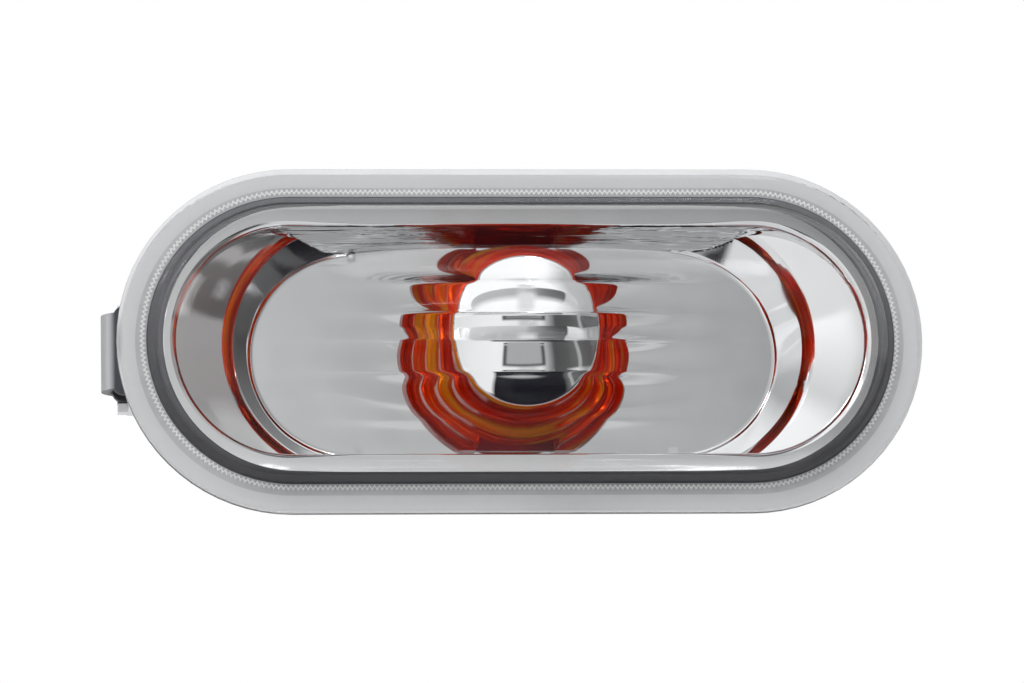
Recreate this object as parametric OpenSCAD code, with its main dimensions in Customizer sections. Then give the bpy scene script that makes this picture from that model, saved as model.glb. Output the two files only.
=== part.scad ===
// Oval side repeater lamp for a car wing.
// Every part is drawn face up, with local z out of the lens and local y up the wing,
// and mounted() turns it so that the lens looks along -Y. The seal's rear face is the plane y = 0.

/* [Lens] */
// Distance between the centres of the two round ends
end_spacing = 52.5; // [46:0.5:60]
// Radius at which the crown meets the flange
crown_r = 16.4; // [14.5:0.1:18]
// Height of the crown above the flange
crown_h = 9.8; // [8.8:0.1:11]
// Wall thickness of the lens
lens_wall = 1.5; // [1.2:0.1:1.7]
// Thickness of the lens flange
flange_t = 2.2; // [1.6:0.1:3]
// Bevel on the front edge of the lens flange
flange_bevel = 0.7; // [0.3:0.1:1.2]
// How far the lens flange stands past the housing's flange
flange_overhang = 0.85; // [0.4:0.05:1.6]
// Distance from the crown's foot to the weld rib
weld_inset = 0.3; // [0.2:0.05:0.6]
// Width of the weld rib under the lens flange
weld_w = 0.6; // [0.4:0.1:0.8]
// Depth of the weld rib
weld_h = 0.6; // [0.4:0.1:0.8]

/* [Flutes] */
// Number of horizontal flutes inside the crown
flute_count = 5; // [3:2:7]
// Height of one flute
flute_pitch = 3.6; // [3.2:0.1:3.8]
// Radius of a flute's bulge
flute_r = 4.4; // [3.6:0.1:6]
// How far a flute stands out of the crown's inner face
flute_h = 0.28; // [0.15:0.01:0.3]
// Length over which a flute keeps its full height
flute_full = 14; // [8:1:20]
// Length at which a flute has faded out
flute_end = 44; // [36:1:50]

/* [Reflector] */
// Gap between the reflector's rim and the lens
rim_gap = 0.35; // [0.3:0.05:0.6]
// Width of the reflector's flat rim
rim_w = 1.4; // [1:0.1:2]
// Depth of the rim below the front of the lens flange
rim_drop = 0.1; // [0:0.1:0.6]
// Depth of the flat back below the rim
bowl_depth = 12.1; // [10:0.1:12.6]
// How much the bowl narrows from its rim to its flat back
bowl_draft = 1.2; // [0.8:0.1:1.8]
// How far the flat back stops short of the bowl's round ends
end_step = 7.6; // [6.4:0.1:9]
// How far the bright band on each end stands out past the flat back
band_reach = 3.5; // [3:0.1:4.2]
// Radial width, and height, of the bright band
band_w = 1.3; // [1:0.1:1.6]
// Depth of the bright band's top below the rim
band_depth = 3.4; // [2.8:0.1:4]
// Depth at which the end dishes start below the rim
dish_depth = 0.7; // [0.4:0.1:1.2]
// Wall thickness of the reflector
reflector_wall = 1.3; // [1:0.1:1.5]
// Distance of the reflector's pegs from its long centre line
peg_y = 6.5; // [5:0.1:7.5]
// Radius of the reflector's pegs
peg_r = 1; // [0.8:0.1:1.2]
// Bevel round the window in the rim
edge_w = 0.3; // [0.2:0.05:0.4]
// Thickness of the skirt that closes the space round the rim
skirt_t = 0.8; // [0.6:0.1:1]
// Radius of the hole for the bulb
bulb_hole_r = 7; // [6.5:0.1:8]

/* [Amber cup] */
// Radius of the amber cup's foot
cup_r = 13.2; // [12:0.1:14.5]
// Gap from the cup's two flats to the bowl's sides
flat_gap = 0.5; // [0.3:0.1:0.8]
// Height of the cup's foot above the reflector's back
cup_foot_h = 2; // [1.5:0.1:3]
// Number of steps between the foot and the top
cup_step_count = 4; // [3:1:5]
// Wall thickness of the cup
cup_wall = 1.2; // [1:0.1:1.4]
// How far the cup's top stands out past the shield
cup_lip = 0.5; // [0.3:0.1:1]
// Width of the notch in each flat of the cup
notch_w = 9.2; // [8:0.1:10]
// Height of the notch in each flat of the cup
notch_h = 9; // [7:0.1:10]
// Width of each of the cup's two legs
leg_w = 4; // [3:0.1:5]
// Thickness of the legs
leg_t = 0.8; // [0.6:0.1:0.9]
// How far each leg's barb reaches behind the reflector
leg_barb = 0.5; // [0.4:0.05:0.7]
// Radius of the chrome shield on the cup
shield_r = 8.3; // [7.6:0.1:9]
// Height of the shield's dome
shield_h = 2.2; // [1.8:0.1:2.6]
// Wall thickness of the shield
shield_wall = 0.8; // [0.6:0.1:1]
// Gap between the shield and the flutes
shield_gap = 0.45; // [0.3:0.05:1]

/* [Housing] */
// Thickness of the foam seal behind the flange
seal_t = 1.5; // [1:0.1:2]
// Width of the foam seal
seal_w = 1.4; // [1:0.1:2]
// Thickness of the housing's flange
housing_flange_t = 1.2; // [1:0.1:1.6]
// Wall of the housing outside the weld groove
groove_wall = 0.2; // [0.2:0.05:0.6]
// Depth of the housing behind the seal's rear face
housing_depth = 14.5; // [14:0.1:17]
// How much the housing's body narrows towards its rear
housing_draft = 0.8; // [0.4:0.1:1]
// Wall thickness of the housing
housing_wall = 1.4; // [1.2:0.1:1.5]
// Thickness of the housing's rear wall
rear_wall = 1.5; // [1.2:0.1:2]
// Radius of the round edge at the housing's rear
rear_round = 2; // [1:0.1:3]

/* [Bulb] */
// Overall length of the wedge bulb
bulb_l = 26.8; // [25:0.1:28]
// Radius of the bulb's glass
bulb_r = 5.1; // [4.8:0.05:5.3]
// Width of the bulb's flat pinch
pinch_w = 9.2; // [8.6:0.1:9.6]
// Thickness of the bulb's flat pinch
pinch_t = 2.4; // [2.1:0.1:2.6]
// Height of the bulb's flat pinch
pinch_h = 8.4; // [7.5:0.1:9]
// Thickness of the bulb's glass
glass_t = 0.5; // [0.4:0.05:0.7]
// Radius of the lead wires
wire_r = 0.25; // [0.2:0.05:0.3]
// Distance of the lead wires from the bulb's axis
wire_x = 2.1; // [1.8:0.1:2.4]
// Radius of the coiled filament
coil_r = 0.3; // [0.2:0.05:0.4]

/* [Bulb holder] */
// Radius of the bore for the bulb holder
bore_r = 10.2; // [9.2:0.1:11]
// Angle that the holder turns to come free
twist = 45; // [40:1:50]
// Angle that one bayonet lug covers
lug_angle = 28; // [20:1:32]
// Number of bayonet lugs
lug_count = 3; // [2:1:4]
// How far the lugs stand out past the bore
lug_reach = 1.8; // [1.2:0.1:2.2]
// Thickness of the lugs
lug_t = 1.1; // [0.9:0.1:1.5]
// Width of the housing's collar outside the bore
collar_w = 3.2; // [2.8:0.1:3.8]
// Height of the housing's collar
collar_h = 2.4; // [1.8:0.1:3]
// Thickness of the holder's seal
holder_seal_t = 1.1; // [0.8:0.1:1.5]
// Thickness of the holder's flange
holder_flange_t = 1.6; // [1.2:0.1:2]
// Width of the connector socket's opening
socket_w = 14; // [13:0.5:15]
// Height of the connector socket's opening
socket_h = 7.5; // [7:0.5:8.5]
// Depth of the connector socket
socket_d = 9; // [8:0.5:12]
// Wall thickness of the connector socket
socket_wall = 1.3; // [1:0.1:1.6]
// Length of a grip rib on the holder's flange
grip_l = 10; // [8:0.5:12]
// Height of a grip rib
grip_h = 3; // [2:0.5:4]
// Thickness of a grip rib
grip_t = 1.6; // [1.2:0.1:2]
// Width of the latch nose on the socket
latch_w = 4; // [3:0.5:5]
// Height of the latch nose
latch_h = 1.2; // [0.8:0.1:1.6]
// Distance between the two guide ribs beside the latch
guide_spacing = 10.5; // [9:0.5:12]
// Width, and height, of a guide rib
guide_t = 1; // [0.8:0.1:1.4]

/* [Contacts] */
// Thickness of the contact strip
contact_t = 0.5; // [0.4:0.05:0.6]
// Width of a contact's springs
contact_w = 3.2; // [2.6:0.1:3.6]
// Height of a contact's springs
spring_h = 6.5; // [5:0.1:7.5]
// Distance of each contact from the bulb's axis
contact_x = 3.2; // [3:0.1:3.4]
// Thickness of a blade
blade_t = 0.8; // [0.6:0.1:1]
// Height of a blade
blade_h = 2.8; // [2.4:0.1:3.2]
// Length of a blade inside the socket
blade_l = 7.5; // [6:0.1:8]

/* [Fixing] */
// Width of the retaining clip
clip_w = 10.2; // [9.6:0.1:11]
// Width of the tongue in the middle of the clip
tongue_w = 8.8; // [8:0.1:9.2]
// How far the tongue reaches past the clip's shoulders
tongue_reach = 1.3; // [1:0.1:1.6]
// How far the clip's bow stands beyond the lens flange
clip_reach = 1.4; // [1:0.1:2]
// Thickness of the clip's leaf
clip_t = 1.1; // [0.9:0.1:1.4]
// Half the length of the clip's bow
bow_half = 3.2; // [2.8:0.1:4]
// Length of the clip's foot
foot_l = 2.2; // [1.8:0.1:3]
// Space behind the seal for the wing's sheet
sheet_gap = 2.4; // [2.2:0.1:3]
// How far the fixed hook reaches out from the housing
hook_reach = 2.4; // [1.6:0.1:3]
// Width of the hook
hook_w = 8; // [6:0.5:10]
// Thickness of the hook's tip
hook_t = 1.4; // [1.2:0.1:2]
// Height of the hook along the housing
hook_h = 7.5; // [6:0.1:9]

/* [Hidden] */
$fn = 96;
// Overlap of joined forms, and the clearances between pieces
e = 0.01;
cut = 1;
clear = 0.2;
seat_gap = 0.05;
run_fit = 0.06;

// Heights along local z, all measured from the seal's rear face
lens_z = seal_t + housing_flange_t;
crown_z = lens_z + flange_t;
crown_top = crown_z + crown_h;
crown_R = (crown_r * crown_r + crown_h * crown_h) / (2 * crown_h);
crown_centre = crown_top - crown_R;
inner_R = crown_R - lens_wall;
rim_z = crown_z - rim_drop;
back_z = rim_z - bowl_depth;
back_rear = back_z - reflector_wall;
rear_z = -housing_depth;
rear_inner = rear_z + rear_wall;

// Radii of the oval outlines, from the crown outwards
weld_r = crown_r + weld_inset + weld_w / 2;
groove_half = weld_w / 2 + clear / 2;
housing_r = weld_r + groove_half + groove_wall;
housing_flange_r = housing_r + seal_w;
flange_r = housing_flange_r + flange_overhang;

// Radii of the reflector, from the lens inwards
rim_r = sqrt(inner_R * inner_R - (rim_z - crown_centre) * (rim_z - crown_centre)) - rim_gap;
window_r = rim_r - rim_w;
back_r = window_r - bowl_draft;
back_spacing = end_spacing - 2 * end_step;
band_r = back_r + band_reach;
rim_t = 1;
peg_place = 0.7;
peg_x = back_spacing / 2 + end_step * peg_place;
peg_h = 2;
post_wall = 1.2;
end_wall_share = 0.7;
skirt_gap = 0.2;
skirt_z = lens_z - skirt_gap;
skirt_r = housing_r - housing_wall - skirt_gap;
skirt_wall = 1;

// The amber cup
shield_top = crown_top - lens_wall - flute_h - shield_gap;
cup_top = shield_top - shield_h;
cup_rise = (cup_top - back_z - cup_foot_h) / cup_step_count;
cup_top_r = shield_r + cup_lip;
cup_flat = back_r - flat_gap;
cup_draft = 0.1;
cup_tread = 0.4;
cup_z = back_z + seat_gap;
leg_inset = 0.1;
leg_x = cup_r - cup_wall + leg_inset;
leg_root = 0.6;
barb_z = back_rear - seat_gap;
barb_h = 1.2;

// The bulb
bulb_clear = 1.2;
bulb_z = cup_top - cup_wall - bulb_clear;
pinch_z = bulb_z - bulb_l;
pinch_top = pinch_z + pinch_h;
neck_h = 2;
filament_drop = 9;
filament_z = bulb_z - filament_drop;
wire_sink = 1.4;

// The bulb holder
collar_z = rear_z - collar_h;
collar_r = bore_r + collar_w;
lug_play = 4;
lug_step = 360 / lug_count;
stop_angle = 6;
stop_play = 2;
holder_r = bore_r - run_fit;
holder_overhang = 0.4;
holder_flange_r = collar_r + holder_overhang;
lug_land = 0.4;
holder_front = rear_inner + clear + lug_t + lug_land;
seal_z = collar_z - holder_seal_t - seat_gap;
holder_rear = seal_z - holder_flange_t;
pinch_play = 0.6;
spring_room = 1.6;
pocket_w = pinch_w + 2 * pinch_play;
pocket_h = pinch_t + 2 * (contact_t + spring_room);
neck_play = 0.4;
neck_bore_r = bulb_r + neck_play;
neck_depth = 0.6;
nose_wall = 1.7;
nose_r = neck_bore_r + nose_wall;
nose_gap = 0.3;
nose_z = back_rear - nose_gap;
floor_t = 1.6;
floor_gap = 0.3;
pocket_floor = pinch_z - floor_gap;
socket_top = pocket_floor - floor_t;
socket_rear = socket_top - socket_d;
bridge_t = 0.25;
latch_z = socket_rear + 2;
latch_l = 2.8;
latch_land = 0.6;
guide_z = socket_rear + 1;

// The clip and the hook
body_x = end_spacing / 2 + housing_r;
clip_pad_side = 1.2;
clip_pad_w = clip_w + 2 * clip_pad_side;
clip_pad_reach = 0.5;
clip_pad_x = body_x + clip_pad_reach;
rail_t = 1;
rail_top = -sheet_gap;
bow_x = end_spacing / 2 + flange_r + clip_reach;
bow_rise = bow_x - clip_pad_x - clip_t;
bow_R = (bow_half * bow_half + bow_rise * bow_rise) / (2 * bow_rise);
bow_z = rail_top - bow_half - clear;
pad_low = bow_z - bow_half - foot_l;
pad_sink = 3;
clip_round = 1.2;
hook_sink = 1;

module mounted() rotate([90, 0, 0]) children();

// Flat shapes and solids that follow the oval outline

module oval(r, spacing = end_spacing) {
    square([spacing, 2 * r], center = true);
    for (s = [-1, 1]) translate([s * spacing / 2, 0]) circle(r);
}

module oval_plate(r, z0, z1) translate([0, 0, z0]) linear_extrude(z1 - z0) oval(r);

module oval_ring(r_in, r_out, z0, z1) difference() {
    oval_plate(r_out, z0, z1);
    oval_plate(r_in, z0 - cut, z1 + cut);
}

// A tapered oval, of radius r0 at z0 and r1 at z1
module oval_taper(r0, z0, r1, z1) {
    rotate([90, 0, 90]) translate([0, 0, -end_spacing / 2]) linear_extrude(end_spacing)
        polygon([[-r0, z0], [r0, z0], [r1, z1], [-r1, z1]]);
    for (s = [-1, 1]) translate([s * end_spacing / 2, 0, z0])
        cylinder(h = z1 - z0, r1 = r0, r2 = r1);
}

// Sweeps a half section, radius along x and height along y, round the oval
module swept() {
    for (a = [0, 180]) rotate([0, 0, a]) translate([end_spacing / 2, 0, 0]) rotate([0, 0, -90])
        rotate_extrude(angle = 180) children();
    rotate([90, 0, 90]) translate([0, 0, -end_spacing / 2]) linear_extrude(end_spacing) {
        children();
        mirror([1, 0]) children();
    }
}

// A box of size [x, y] standing on z0, centred on x and y
module block(size, z0, z1) translate([-size[0] / 2, -size[1] / 2, z0])
    cube([size[0], size[1], z1 - z0]);

module rod(r, z0, z1) translate([0, 0, z0]) cylinder(h = z1 - z0, r = r);

// A wedge of a ring, centred on an angle
module ring_sector(r_in, r_out, z0, z1, angle, width) rotate([0, 0, angle - width / 2])
    translate([0, 0, z0]) rotate_extrude(angle = width)
        translate([r_in, 0]) square([r_out - r_in, z1 - z0]);

// Lens

module crown_arc(R) intersection() {
    translate([0, crown_centre]) circle(R);
    translate([0, lens_z - cut]) square([flange_r, crown_top]);
}

module lens_section() {
    difference() {
        intersection() {
            union() {
                polygon([[0, lens_z], [flange_r, lens_z], [flange_r, crown_z - flange_bevel],
                    [flange_r - flange_bevel, crown_z], [0, crown_z]]);
                crown_arc(crown_R);
            }
            translate([0, lens_z]) square([flange_r, crown_top]);
        }
        translate([-e, 0]) crown_arc(inner_R);
    }
    translate([weld_r - weld_w / 2, lens_z - weld_h]) square([weld_w, weld_h + e]);
}

// One flute, full in the middle and fading to each end
module flute() intersection() {
    rotate([0, 90, 0]) {
        cylinder(h = flute_full, r = flute_r, center = true);
        for (s = [0, 1]) mirror([0, 0, s]) translate([0, 0, flute_full / 2])
            cylinder(h = (flute_end - flute_full) / 2, r1 = flute_r, r2 = flute_r - flute_h - seat_gap);
    }
    translate([0, 0, flute_h - flute_r - inner_R]) rotate([0, 90, 0])
        cylinder(h = flute_end + cut, r = inner_R + lens_wall / 2, center = true);
}

module flutes() for (k = [0 : flute_count - 1]) {
    y = (k - (flute_count - 1) / 2) * flute_pitch;
    translate([0, 0, crown_centre]) rotate([-asin(y / inner_R), 0, 0])
        translate([0, 0, inner_R + flute_r - flute_h]) flute();
}

module outer_lens() color([0.93, 0.95, 0.96, 0.35]) {
    swept() lens_section();
    flutes();
}

// Reflector

// The bowl's inner form, grown by off on its sides and lowered by drop
module bowl(off = 0, drop = 0) intersection() {
    oval_taper(back_r + off, back_z - drop, window_r + off, rim_z + e);
    union() {
        block([back_spacing, 2 * flange_r], back_z - drop - cut, rim_z + cut);
        for (s = [-1, 1]) translate([s * back_spacing / 2, 0, 0]) end_bowl(off * end_wall_share, drop);
    }
}

// One round end: steep wall, bright band, shallow dish
module end_bowl(side, drop) {
    foot = back_z - drop;
    top = rim_z - band_depth - drop;
    lip = rim_z - dish_depth - drop;
    lip_r = end_step + window_r;
    rotate_extrude() polygon([[0, foot], [back_r + side, foot], [band_r - band_w + side, top - band_w],
        [band_r + side, top], [lip_r + side, lip], [lip_r + side, rim_z + cut], [0, rim_z + cut]]);
}

// The step that runs down from the rim and out to the housing's wall
module skirt() {
    oval_ring(rim_r - skirt_wall, rim_r, skirt_z - skirt_t, rim_z - rim_t + e);
    oval_ring(rim_r - skirt_wall, skirt_r, skirt_z - skirt_t, skirt_z);
}

module reflector() color([0.86, 0.87, 0.88]) difference() {
    union() {
        oval_plate(rim_r, rim_z - rim_t, rim_z);
        bowl(reflector_wall, reflector_wall);
        skirt();
        for (sx = [-1, 1], sy = [-1, 1]) translate([sx * peg_x, sy * peg_y, 0])
            rod(peg_r, back_rear - peg_h, back_rear + e);
    }
    bowl();
    oval_taper(window_r - edge_w, rim_z - 2 * edge_w, window_r + edge_w, rim_z + e);
    oval_plate(rim_r + cut, rim_z, rim_z + cut);
    rod(bulb_hole_r, back_rear - cut, back_z + cut);
    for (s = [-1, 1]) translate([s * (leg_x + leg_t / 2), 0, 0])
        block([leg_t + 2 * clear, leg_w + 2 * clear], back_rear - cut, back_z + cut);
}

// Amber cup and its chrome shield

function cup_radius(i) = cup_r + (cup_top_r - cup_r) * i / cup_step_count;

// The cup's stepped side from its low edge up, moved in and up
function cup_side(inset, low, lift) = [for (i = [0 : cup_step_count]) let (
    z0 = i == 0 ? low : back_z + cup_foot_h + (i - 1) * cup_rise + cup_tread + lift,
    z1 = back_z + cup_foot_h + i * cup_rise + lift)
    each [[cup_radius(i) - inset, z0], [cup_radius(i) - cup_draft - inset, z1]]];

module cup_form(inset, low, lift) rotate_extrude()
    polygon(concat([[0, low]], cup_side(inset, low, lift), [[0, cup_top + lift]]));

// A leg that goes through the reflector and catches behind it with a barb
module cup_leg() rotate([90, 0, 0]) translate([leg_x, 0, -leg_w / 2]) linear_extrude(leg_w)
    polygon([[0, cup_z + leg_root], [0, barb_z - barb_h], [leg_t, barb_z - barb_h],
        [leg_t + leg_barb, barb_z], [leg_t, barb_z], [leg_t, cup_z + leg_root]]);

module amber_cup() color([0.95, 0.36, 0.05, 0.6]) {
    difference() {
        cup_form(0, cup_z, 0);
        for (s = [0, 1]) mirror([0, s, 0]) translate([-2 * cup_r, cup_flat, cup_z - cut])
            cube([4 * cup_r, cup_r, cup_top - cup_z + 2 * cut]);
        intersection() {
            cup_form(cup_wall, cup_z - cut, -cup_wall);
            block([2 * cup_r, 2 * (cup_flat - cup_wall)], cup_z - 2 * cut, cup_top);
        }
        block([notch_w, 2 * (cup_r + cut)], cup_z - cut, back_z + notch_h);
    }
    for (s = [0, 1]) mirror([s, 0, 0]) cup_leg();
}

module shield_dome(drop) {
    R = (shield_r * shield_r + shield_h * shield_h) / (2 * shield_h);
    translate([0, 0, shield_top - R - drop]) sphere(R);
}

module bulb_shield() color([0.9, 0.91, 0.92]) difference() {
    intersection() {
        shield_dome(0);
        rod(shield_r, cup_top + seat_gap, shield_top + cut);
    }
    shield_dome(shield_wall);
}

// Housing and seal

module post(x, y) translate([x, y, 0]) difference() {
    rod(peg_r + post_wall, rear_inner - e, back_rear - seat_gap);
    rod(peg_r + clear / 2, back_rear - peg_h - 2 * clear, back_rear + cut);
}

module hook() translate([body_x - hook_sink, 0, 0]) rotate([90, 0, 0])
    translate([0, 0, -hook_w / 2]) linear_extrude(hook_w)
        polygon([[-hook_sink, rail_top], [hook_reach + hook_sink, rail_top],
            [hook_reach + hook_sink, rail_top - hook_t], [-hook_sink, rail_top - hook_h]]);

// The flat pad behind the clip, with a rail over each edge of the clip's foot
module clip_rails() {
    translate([-clip_pad_x, -clip_pad_w / 2, pad_low])
        cube([clip_pad_x - body_x + pad_sink, clip_pad_w, rail_top - pad_low]);
    for (s = [-1, 1]) translate([-clip_pad_x - clip_t, s * (clip_w + rail_t + clear) / 2 - rail_t / 2, pad_low])
        cube([clip_t + e, rail_t, foot_l]);
}

// The space inside the housing, less the posts that carry the reflector
module housing_cavity() difference() {
    oval_taper(housing_r - housing_draft - housing_wall, rear_inner, housing_r - housing_wall, lens_z + e);
    for (sx = [-1, 1], sy = [-1, 1]) post(sx * peg_x, sy * peg_y);
    for (i = [1 : lug_count]) ring_sector(bore_r + clear, bore_r + lug_reach, rear_inner - e,
        rear_inner + lug_t, 90 + i * lug_step + (lug_angle + stop_angle) / 2 + stop_play, stop_angle);
}

// Half section of the housing's body, with a round rear edge
module housing_section() {
    low_r = housing_r - housing_draft;
    lean = rear_round * housing_draft / (seal_t - rear_z);
    polygon([[0, rear_z], [low_r - rear_round, rear_z], [low_r + lean, rear_z + rear_round],
        [housing_r, seal_t + e], [0, seal_t + e]]);
    intersection() {
        translate([low_r + lean - rear_round, rear_z + rear_round]) circle(rear_round);
        translate([0, rear_z]) square([low_r + lean, rear_round]);
    }
}

module housing() color([0.72, 0.73, 0.74]) difference() {
    union() {
        oval_plate(housing_flange_r, seal_t, lens_z);
        swept() housing_section();
        rod(collar_r, collar_z, rear_z + e);
        hook();
        clip_rails();
    }
    housing_cavity();
    oval_ring(weld_r - groove_half, weld_r + groove_half, lens_z - weld_h - clear / 2, lens_z + cut);
    rod(bore_r, collar_z - cut, rear_inner + cut);
    for (i = [1 : lug_count]) ring_sector(bore_r - cut, bore_r + lug_reach + clear, collar_z - cut,
        rear_inner + cut, 90 + i * lug_step - twist, lug_angle + lug_play);
}

module wing_seal() color([0.16, 0.16, 0.17])
    oval_ring(housing_r + clear / 2, housing_flange_r, 0, seal_t - seat_gap);

// Retaining clip at the left end, a bowed leaf on a flat foot

module clip_section() {
    difference() {
        translate([bow_R - bow_x, bow_z]) circle(bow_R);
        translate([bow_R - bow_x, bow_z]) circle(bow_R - clip_t);
        translate([-clip_pad_x - seat_gap, bow_z - 2 * bow_R]) square([3 * bow_R, 4 * bow_R]);
    }
    translate([-clip_pad_x - clip_t, pad_low]) square([clip_t - seat_gap, foot_l + clip_t / 2]);
}

// A flat tab of width w that reaches out to x, with two round corners
module tab(w, x) {
    inner = body_x - pad_sink;
    for (s = [-1, 1]) translate([x - clip_round, s * (w / 2 - clip_round)]) circle(clip_round);
    translate([inner, clip_round - w / 2]) square([x - inner, w - 2 * clip_round]);
    translate([inner, -w / 2]) square([x - clip_round - inner, w]);
}

module retaining_clip() color([0.66, 0.67, 0.68]) intersection() {
    rotate([90, 0, 0]) translate([0, 0, -clip_w / 2]) linear_extrude(clip_w) clip_section();
    mirror([1, 0, 0]) translate([0, 0, pad_low - cut]) linear_extrude(cut - pad_low) {
        tab(clip_w, bow_x - tongue_reach);
        tab(tongue_w, bow_x + cut);
    }
}

// Bulb holder and its seal

module holder_lugs() for (i = [1 : lug_count])
    ring_sector(holder_r - cut, bore_r + lug_reach, rear_inner + clear, rear_inner + clear + lug_t,
        90 + i * lug_step, lug_angle);

module grips() for (s = [-1, 1]) translate([s * (holder_flange_r - 3 * grip_t / 2), 0, 0])
    block([grip_t, grip_l], holder_rear - grip_h, holder_rear + e);

// A ramp that the plug's latch rides over, between two guide ribs
module socket_keys() translate([0, socket_h / 2 + socket_wall - e, 0]) {
    rotate([90, 0, 90]) translate([0, 0, -latch_w / 2]) linear_extrude(latch_w)
        polygon([[0, latch_z], [latch_h, latch_z + latch_l - latch_land], [latch_h, latch_z + latch_l],
            [0, latch_z + latch_l]]);
    for (s = [-1, 1]) translate([s * guide_spacing / 2 - guide_t / 2, 0, guide_z])
        cube([guide_t, guide_t, holder_rear - guide_z + e]);
}

module bulb_holder() color([0.2, 0.2, 0.21]) difference() {
    union() {
        socket_keys();
        rod(holder_r, holder_rear, holder_front);
        rod(holder_flange_r, holder_rear, holder_rear + holder_flange_t);
        rod(nose_r, holder_front - e, nose_z);
        holder_lugs();
        grips();
        block([socket_w + 2 * socket_wall, socket_h + 2 * socket_wall], socket_rear, holder_rear + e);
    }
    rod(neck_bore_r, pinch_top - neck_depth, nose_z + cut);
    block([pocket_w, pocket_h], pocket_floor, nose_z + cut);
    block([socket_w, socket_h], socket_rear - cut, socket_top);
    for (s = [-1, 1]) translate([s * contact_x, 0, 0])
        block([blade_t, blade_h], socket_top - cut, pocket_floor + cut);
}

module holder_seal() color([0.12, 0.12, 0.12]) difference() {
    rod(collar_r, seal_z, seal_z + holder_seal_t);
    rod(holder_r + e, seal_z - cut, seal_z + holder_seal_t + cut);
}

// One contact: a blade in the socket and a pair of springs that grip the pinch
module contact(side) color([0.78, 0.62, 0.35]) translate([side * contact_x, 0, 0]) {
    block([blade_t, blade_h], socket_top - blade_l, pocket_floor + e);
    for (s = [-1, 1]) translate([0, s * (pinch_t / 2 + seat_gap + contact_t / 2), 0])
        block([contact_w, contact_t], pocket_floor, pocket_floor + spring_h);
    block([contact_w, pinch_t + 2 * (seat_gap + contact_t)], pocket_floor, pocket_floor + bridge_t);
}

// Bulb

module bulb_form(r, top, low) {
    translate([0, 0, top - r]) sphere(r);
    rod(r, low + neck_h, top - r);
    translate([0, 0, low]) cylinder(h = neck_h, r1 = r - neck_h, r2 = r);
}

module bulb_glass() color([0.9, 0.93, 0.95, 0.4]) difference() {
    union() {
        bulb_form(bulb_r, bulb_z, pinch_top - clear);
        block([pinch_w, pinch_t], pinch_z, pinch_top);
    }
    bulb_form(bulb_r - glass_t, bulb_z - glass_t, pinch_top + 2 * clear);
    for (s = [-1, 1]) translate([s * wire_x, 0, 0])
        rod(wire_r + e, pinch_top - wire_sink - e, pinch_top + wire_sink);
}

module lead_wire(side) color([0.7, 0.7, 0.72]) translate([side * wire_x, 0, 0]) {
    rod(wire_r, pinch_top - wire_sink, filament_z);
    translate([0, 0, filament_z]) sphere(wire_r);
}

module filament() color([0.55, 0.53, 0.5]) translate([0, 0, filament_z]) rotate([0, 90, 0])
    cylinder(h = 2 * (wire_x - wire_r - 2 * e), r = coil_r, center = true);

mounted() outer_lens();
mounted() reflector();
mounted() amber_cup();
mounted() bulb_shield();
mounted() housing();
mounted() wing_seal();
mounted() retaining_clip();
mounted() bulb_holder();
mounted() holder_seal();
mounted() contact(-1);  // left_contact
mounted() contact(1);  // right_contact
mounted() bulb_glass();
mounted() lead_wire(-1);  // left_lead_wire
mounted() lead_wire(1);  // right_lead_wire
mounted() filament();
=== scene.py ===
import math

import bmesh
import bpy
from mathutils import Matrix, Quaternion, Vector


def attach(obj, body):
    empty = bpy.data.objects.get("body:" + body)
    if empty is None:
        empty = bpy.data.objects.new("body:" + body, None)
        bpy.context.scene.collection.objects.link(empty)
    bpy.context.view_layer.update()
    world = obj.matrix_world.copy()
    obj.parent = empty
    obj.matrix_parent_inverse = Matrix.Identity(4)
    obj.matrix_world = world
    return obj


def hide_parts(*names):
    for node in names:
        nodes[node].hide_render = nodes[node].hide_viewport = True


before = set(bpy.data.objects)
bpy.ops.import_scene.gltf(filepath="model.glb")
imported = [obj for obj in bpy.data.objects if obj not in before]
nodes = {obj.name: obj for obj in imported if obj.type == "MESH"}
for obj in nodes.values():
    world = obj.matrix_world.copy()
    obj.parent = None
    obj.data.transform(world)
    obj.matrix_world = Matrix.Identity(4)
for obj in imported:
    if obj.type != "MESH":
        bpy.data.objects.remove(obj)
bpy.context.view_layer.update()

# Sizes are in millimetres, and most are the part's own. z runs out of the lens, and r is the
# distance from the straight axis of an oval, or from the middle of a round.
MM = 0.001
HALF = 26.25  # half of every oval's straight run

LENS_Z, CROWN_Z, CROWN_TOP, CROWN_R, INNER_R = 2.7, 4.9, 14.7, 18.622, 17.122
CROWN_C = CROWN_TOP - CROWN_R
FOOT_R, WELD_R, FLANGE_R = 16.4, 17.0, 19.85
UNDER_Z, UNDER_R = LENS_Z + 0.04, 16.0  # the lens's underside, just above the weld's teeth
FOOT_SHADE_Z, FOOT_SHADE_R = 4.45, 16.38  # painted shade: inside these the crown's foot is painted dark, for the shade of the dark step
FLUTE_R, FLUTE_H = 4.4, 0.28
FLUTE_JOIN, FLUTE_RUN_OUT = 0.3, 1.6
FLUTE_END, FLUTE_FADE = 24.0, 18.0  # along x: where the flutes end, and over what length
SEAMS = (-9.0, -5.65, -2.35, 1.58, 5.0, 8.2)  # between the flutes, below and above the middle
TOOTH_PITCH, TOOTH_SWING, TOOTH_POINTS = 0.56, 0.2, 4

RIM_Z, RIM_R, RIM_NARROWS, WINDOW_R, WINDOW_DRAFT = 4.8, 14.66, 0.58, 12.984, 0.15
BACK_Z, BACK_R, BULB_HOLE_R = -7.3, 11.784, 7.0
END_X, BAND_R, BAND_W, BAND_TOP, LIP_Z = 18.65, 15.284, 1.3, 1.4, 4.1
LIP_R = HALF - END_X + WINDOW_R

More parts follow.
